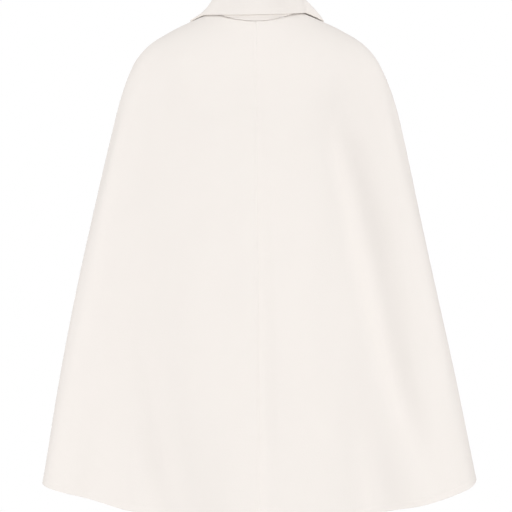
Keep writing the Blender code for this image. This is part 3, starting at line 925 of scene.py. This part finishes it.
class Finish:
    """A material with one Principled shader."""

    def __init__(self, name):
        self.material = bpy.data.materials.new(name)
        self.material.use_nodes = True
        self.tree = self.material.node_tree
        self.shader = self.tree.nodes["Principled BSDF"]

    def fill(self, node, inputs):
        """Links or sets a node's sockets."""
        for key, value in inputs.items():
            if isinstance(value, Amount):
                self.tree.links.new(value.socket, node.inputs[key])
            else:
                node.inputs[key].default_value = value

    def node(self, kind, settings=None, inputs=None, output=0):
        """Adds any node, and gives one of its outputs."""
        made = self.tree.nodes.new(kind)
        for key, value in (settings or {}).items():
            setattr(made, key, value)
        self.fill(made, inputs or {})
        return Amount(self, made.outputs[output])

    def flat_place(self, scale):
        """The place on the flat cloth, in millimetres times scale."""
        place = self.node("ShaderNodeUVMap", {"uv_map": "Flat"})
        size = [1000.0 * s for s in scale]
        return self.node("ShaderNodeMapping", {"vector_type": "POINT"}, {"Vector": place, "Scale": size})

    def noise(self, place, scale, detail):
        return self.node(
            "ShaderNodeTexNoise",
            {"noise_dimensions": "3D"},
            {"Vector": place, "Scale": scale, "Detail": detail},
        )

    def mixed(self, share, first, second):
        """A colour between two others."""
        return self.node(
            "ShaderNodeMix",
            {"data_type": "RGBA", "blend_type": "MIX"},
            {0: share, 6: (*first, 1.0), 7: (*second, 1.0)},
            output=2,
        )

    def wear(self, *objects):
        """Gives the finish to pieces."""
        for obj in objects:
            obj.data.materials.clear()
            obj.data.materials.append(self.material)


# %% [markdown]
# ## Wool
# Double-faced wool is woven, then felted and brushed until the weave is hidden. What is left to see is
# a soft nap that lies down the cloth, a finer felted grain, and a very slight cloudiness in the colour
# where the nap turns. There is no shine, only the pale bloom of fibres at the edges, which sheen gives.

# %% Brushed wool
CREAM_LIGHT, CREAM_DEEP = (0.828, 0.784, 0.747), (0.806, 0.762, 0.725)
NAP_SCALE, GRAIN_SCALE, CLOUD_SCALE = (1.5, 0.32, 1.0), (1.0, 0.8, 1.0), (1.0, 0.6, 1.0)
NAP_DEPTH = 0.0004

wool = Finish("brushed_cream_wool")
nap = wool.noise(wool.flat_place(NAP_SCALE), 1.0, detail=3.0)
grain = wool.noise(wool.flat_place(GRAIN_SCALE), 0.45, detail=3.0)
cloud = wool.noise(wool.flat_place(CLOUD_SCALE), 0.022, detail=2.0)
tone = cloud * 0.6 + grain * 0.25 + nap * 0.15
pile = nap * 0.35 + grain * 0.65
bump = wool.node("ShaderNodeBump", {}, {"Strength": 0.5, "Distance": NAP_DEPTH, "Height": pile})
wool.fill(wool.shader, {
    "Base Color": wool.mixed(tone, CREAM_LIGHT, CREAM_DEEP),
    "Roughness": 0.86 + nap * 0.12,
    "Normal": bump,
    "Sheen Weight": 0.05,
    "Sheen Roughness": 0.6,
    "Specular IOR Level": 0.25,
})
wool.wear(*cloth.values())
print("wool on", len(cloth), "pieces")

# %% [markdown]
# ## Resin and thread
# The buttons are cast resin made to look like pale horn: cloudy, a little deeper in colour in places,
# and satin where fingers polish it. The thread is mercerised cotton in the colour of the cloth.

# %% The button's resin and the sewing thread
HORN_LIGHT, HORN_DEEP = (0.84, 0.79, 0.71), (0.70, 0.63, 0.53)
HORN_STREAKS = (90.0, 90.0, 340.0)
COTTON_LIGHT, COTTON_DEEP = (0.82, 0.79, 0.74), (0.74, 0.70, 0.64)
PLIES = 2500.0

resin = Finish("pale_horn_resin")
where = resin.node("ShaderNodeTexCoord", output="Object")
streaks = resin.node("ShaderNodeMapping", {"vector_type": "POINT"}, {"Vector": where, "Scale": HORN_STREAKS})
clouds = resin.noise(streaks, 1.0, detail=3.0)
resin.fill(resin.shader, {
    "Base Color": resin.mixed(clouds, HORN_LIGHT, HORN_DEEP),
    "Roughness": 0.28 + clouds * 0.14,
    "Coat Weight": 0.15,
    "Coat Roughness": 0.2,
})
resin.wear(*buttons.values())

thread = Finish("cream_sewing_thread")
where = thread.node("ShaderNodeTexCoord", output="Object")
ply = thread.noise(where, PLIES, detail=1.0)
thread.fill(thread.shader, {
    "Base Color": thread.mixed(ply, COTTON_LIGHT, COTTON_DEEP),
    "Roughness": 0.62 + ply * 0.1,
})
thread.wear(*threads.values(), *buttonholes.values())
print("materials:", [finish.material.name for finish in (wool, resin, thread)])

# %% [markdown]
# ## Joining the frame
# Every piece now moves with one body, and hides the solid that it stands for. Nothing here moves on its
# own, so there is one body. Each piece of cloth already carries the size of its flat cut from when it
# was made, taken from the rows of points: the widest row, the longest line down, and the area of the face.

# %% Bodies and solids
def join_frame(piece, node, stands_for=True):
    """Ties a piece to the body, and hides the solid that it stands for if stands_for."""
    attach(piece, "root")
    if stands_for:
        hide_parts(node)


for node, piece in cloth.items():
    join_frame(piece, node)
for node in BUTTON_SECTIONS:
    join_frame(buttons[node], node)
    join_frame(threads[node], node, stands_for=False)
    join_frame(buttonholes[node], "front_right", stands_for=False)

# %% [markdown]
# ## The studio
# The picture looks made in a white tent: light comes from all round, and the shadows are faint. Two large
# soft lights stand wide of the camera, so the sides are as bright as the middle and darken only where
# the cloth turns away. One behind the camera fills the folds and the gap under the collar, one above
# lights the shoulders, and one lights the front for the views from there. The floor is a pale disc at
# the height of a wearer's feet.

# %% Lights and floor
FLOOR_HEIGHT, FLOOR_RADIUS = -1.42, 1.6
CAPE_MIDDLE = (0, 0, -0.4)
LIGHTS = {
    "light_right_of_camera": ((-2.32, 1.22, 0.1), CAPE_MIDDLE, 1.3, 37.4),
    "light_left_of_camera": ((2.32, 1.22, 0.1), CAPE_MIDDLE, 1.3, 37.8),
    "light_behind_camera": ((0.0, 3.1, -0.35), CAPE_MIDDLE, 1.4, 21.2),
    "light_above": ((0.0, 0.4, 2.3), (0, 0, -0.2), 1.6, 22.0),
    "light_in_front": ((0.3, -3.2, 0.4), CAPE_MIDDLE, 2.0, 68.0),
}
TENT_SEEN, TENT_SHINING = 1.0, 0.28


def soft_light(name, place, towards, size, power):
    """A round light, with its size in metres and its power in watts."""
    light = bpy.data.lights.new(name, "AREA")
    light.shape = "DISK"
    light.size = size
    light.energy = power
    lamp = bpy.data.objects.new(name, light)
    bpy.context.scene.collection.objects.link(lamp)
    lamp.location = place
    lamp.rotation_euler = (Vector(towards) - Vector(place)).to_track_quat("-Z", "Y").to_euler()


for light_name, settings in LIGHTS.items():
    soft_light(light_name, *settings)


def white_tent(seen, shining):
    """A white world that shines less on the cape than it looks to the camera."""
    world = bpy.data.worlds.new("white_tent")
    world.use_nodes = True
    nodes, links = world.node_tree.nodes, world.node_tree.links
    backdrop, tent = nodes["Background"], nodes.new("ShaderNodeBackground")
    backdrop.inputs["Color"].default_value = tent.inputs["Color"].default_value = (1.0, 1.0, 1.0, 1.0)
    backdrop.inputs["Strength"].default_value = seen
    tent.inputs["Strength"].default_value = shining
    choice = nodes.new("ShaderNodeMixShader")
    links.new(nodes.new("ShaderNodeLightPath").outputs["Is Camera Ray"], choice.inputs[0])
    links.new(tent.outputs[0], choice.inputs[1])
    links.new(backdrop.outputs[0], choice.inputs[2])
    links.new(choice.outputs[0], nodes["World Output"].inputs["Surface"])
    return world


bpy.context.scene.world = white_tent(TENT_SEEN, TENT_SHINING)
bpy.context.scene.view_settings.view_transform = "Standard"

bpy.ops.object.select_all(action="DESELECT")
bpy.ops.mesh.primitive_circle_add(
    vertices=96, radius=FLOOR_RADIUS, fill_type="NGON", location=(0, 0, FLOOR_HEIGHT)
)
floor = bpy.context.object
floor.name = "studio_floor"
paper = Finish("pale_studio_floor")
paper.fill(paper.shader, {"Base Color": (0.92, 0.92, 0.92, 1.0), "Roughness": 0.9})
paper.wear(floor)
floor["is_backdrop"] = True
print("lights:", len(LIGHTS), "and a floor at", FLOOR_HEIGHT, "metres")

# %% [markdown]
# ## The camera
# The camera stands straight behind the cape, 2.6 m away and level with its middle, and has a long
# lens. The garment hangs turned by half a degree in the picture, which is a small roll of the camera.

# %% Camera
CAMERA_PLACE = (0.00255, 2.6, -0.412)
CAMERA_VIEW = math.radians(19.0)
CAMERA_ROLL = math.radians(0.45)

lens = bpy.data.cameras.new("camera")
lens.angle = CAMERA_VIEW
camera = bpy.data.objects.new("camera", lens)
bpy.context.scene.collection.objects.link(camera)
right = Vector((-math.cos(CAMERA_ROLL), 0.0, -math.sin(CAMERA_ROLL)))
up = Vector((-math.sin(CAMERA_ROLL), 0.0, math.cos(CAMERA_ROLL)))
turned = Matrix((right, up, right.cross(up))).transposed().to_4x4()
turned.translation = CAMERA_PLACE
camera.matrix_world = turned
bpy.context.scene.camera = camera
print("camera at", CAMERA_PLACE)

# %% Sizes and finish
seen_box = [[float(x) for x in corner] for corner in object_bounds()]
for corner, solid, seen in zip(("low", "high"), CAD_BOX, seen_box):
    print(corner, "corner moved, in millimetres:", [round(1000 * (b - a), 1) for a, b in zip(solid, seen)])
